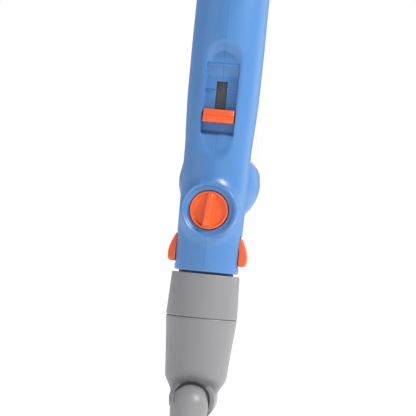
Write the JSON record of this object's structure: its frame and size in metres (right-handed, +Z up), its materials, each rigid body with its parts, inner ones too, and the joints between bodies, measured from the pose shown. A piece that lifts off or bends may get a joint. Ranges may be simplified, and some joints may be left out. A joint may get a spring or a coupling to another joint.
{
  "type": "steam mop",
  "caption": "Upright steam mop with a flat pad head, tilting and swivelling neck, round steam body with lift-off tank, slider, steam knob, pole and trigger grip.",
  "frame": {"origin": "on the floor, on the pad's underside, straight under the axis of the round body", "axes": "+Z up along the body and pole; +Y away from the user, towards the water tank; +X to the right as the user sees it"},
  "size_m": [0.2918, 0.202, 1.1799],
  "materials": {
    "pad_cloth": "looped microfibre pile",
    "hook_tape": "woven hook tape",
    "dark_plastic": "fine moulded texture",
    "rubber_edge": "moulded soft rubber",
    "grey_plastic": "semi-gloss moulded plastic",
    "blue_plastic": "semi-gloss moulded plastic",
    "orange_plastic": "semi-gloss moulded plastic",
    "white_plastic": "plain moulded plastic",
    "navy_plastic": "dark moulded plastic",
    "steel": "bright drawn steel",
    "pole_metal": "satin drawn tube",
    "cast_metal": "die-cast heater block",
    "brass_fitting": "turned brass",
    "seal_rubber": "black seal rubber",
    "silicone_hose": "milky silicone hose",
    "orange_seal": "soft orange silicone",
    "clear_tank": "frosted clear plastic, stands in as glass",
    "red_lens": "clear red light lens"
  },
  "bodies": {
    "head": {"microfiber_pad": "pad_cloth", "hook_strips": "hook_tape", "head_base_plate": "dark_plastic", "head_bumper": "rubber_edge", "steam_distributor": "white_plastic", "head_top_cover": "grey_plastic", "head_screws": "steel", "head_hinge_pin": "steel"},
    "arm": {"swivel_arm": "grey_plastic", "swivel_o_ring": "seal_rubber", "swivel_washer": "steel", "swivel_screw": "steel"},
    "left_release": {"release_button_left": "orange_plastic"},
    "right_release": {"release_button_right": "orange_plastic"},
    "knob": {"steam_knob": "orange_plastic", "valve_stem": "brass_fitting"},
    "slider": {"steam_slider": "orange_plastic", "slider_carrier": "dark_plastic", "slider_rod": "steel"},
    "tank": {"water_tank": "clear_tank", "tank_valve": "brass_fitting"},
    "cap": {"tank_cap": "orange_plastic"},
    "pole_latch": {"pole_button": "steel"},
    "upper_hook": {"cord_hook_upper": "dark_plastic"},
    "trigger": {"trigger_lever": "orange_plastic"},
    "handle": {"neck_barrel": "grey_plastic", "neck_collar": "grey_plastic", "neck_steam_tube": "white_plastic", "body_spigot": "navy_plastic", "steam_nozzle": "brass_fitting", "body_shell_left": "blue_plastic", "body_shell_right": "blue_plastic", "body_screws": "steel", "release_spring_left": "steel", "release_spring_right": "steel", "release_pins": "steel", "knob_bezel": "blue_plastic", "valve_body": "brass_fitting", "steam_hose": "silicone_hose", "boiler_hose": "silicone_hose", "pump": "white_plastic", "suction_hose": "silicone_hose", "boiler_cowl": "blue_plastic", "boiler": "cast_metal", "thermostat": "dark_plastic", "tank_gasket": "orange_seal", "pole_lower": "pole_metal", "pole_upper": "pole_metal", "pole_collar": "dark_plastic", "pole_button_spring": "steel", "cord_hook_lower": "blue_plastic", "hook_clamp": "dark_plastic", "cord_inlet": "rubber_edge", "grip_shell_left": "blue_plastic", "grip_shell_right": "blue_plastic", "grip_pad": "rubber_edge", "indicator_lens": "red_lens", "trigger_spring": "steel", "micro_switch": "dark_plastic"}
  },
  "joints": [
    {"name": "head_tilt", "type": "hinge", "parent": "head", "child": "arm", "pos_m": [0, -0.03, 0.038], "axis": [1, 0, 0], "range_deg": [0, 80]},
    {"name": "neck_swivel", "type": "hinge", "parent": "arm", "child": "handle", "pos_m": [0, 0, 0.115], "axis": [0, 1, 0], "range_deg": [-75, 75]},
    {"name": "release_left", "type": "hinge", "parent": "handle", "child": "left_release", "pos_m": [-0.0235, 0, 0.2555], "axis": [0, -1, 0], "range_deg": [0, 9], "stiffness_Nm_per_rad": 0.12, "springref_deg": -17.19, "deforming": ["release_spring_left"]},
    {"name": "release_right", "type": "hinge", "parent": "handle", "child": "right_release", "pos_m": [0.0235, 0, 0.2555], "axis": [0, 1, 0], "range_deg": [0, 9], "stiffness_Nm_per_rad": 0.12, "springref_deg": -17.19, "deforming": ["release_spring_right"]},
    {"name": "knob_turn", "type": "hinge", "parent": "handle", "child": "knob", "pos_m": [0, 0, 0.2787], "axis": [0, 1, 0], "range_deg": [0, 90]},
    {"name": "slider_move", "type": "slide", "parent": "handle", "child": "slider", "axis": [0, 0, 1], "range_m": [0, 0.02]},
    {"name": "tank_lift", "type": "slide", "parent": "handle", "child": "tank", "axis": [0, 0, 1], "range_m": [0, 0.19]},
    {"name": "cap_turn", "type": "hinge", "parent": "tank", "child": "cap", "pos_m": [0, 0.047, 0.3085], "axis": [0, 0, 1], "range_deg": [0, 60]},
    {"name": "pole_latch_press", "type": "slide", "parent": "handle", "child": "pole_latch", "axis": [0, 1, 0], "range_m": [0, 0.0035], "stiffness_N_per_m": 800, "springref_m": -0.003, "deforming": ["pole_button_spring"]},
    {"name": "hook_turn", "type": "hinge", "parent": "handle", "child": "upper_hook", "pos_m": [0, -0.02, 0.933], "axis": [0, 1, 0], "range_deg": [0, 180]},
    {"name": "trigger_press", "type": "hinge", "parent": "handle", "child": "trigger", "pos_m": [0, -0.004, 1.1168], "axis": [-1, 0, 0], "range_deg": [0, 8], "stiffness_Nm_per_rad": 0.8, "springref_deg": -8.59, "deforming": ["trigger_spring"]}
  ]
}
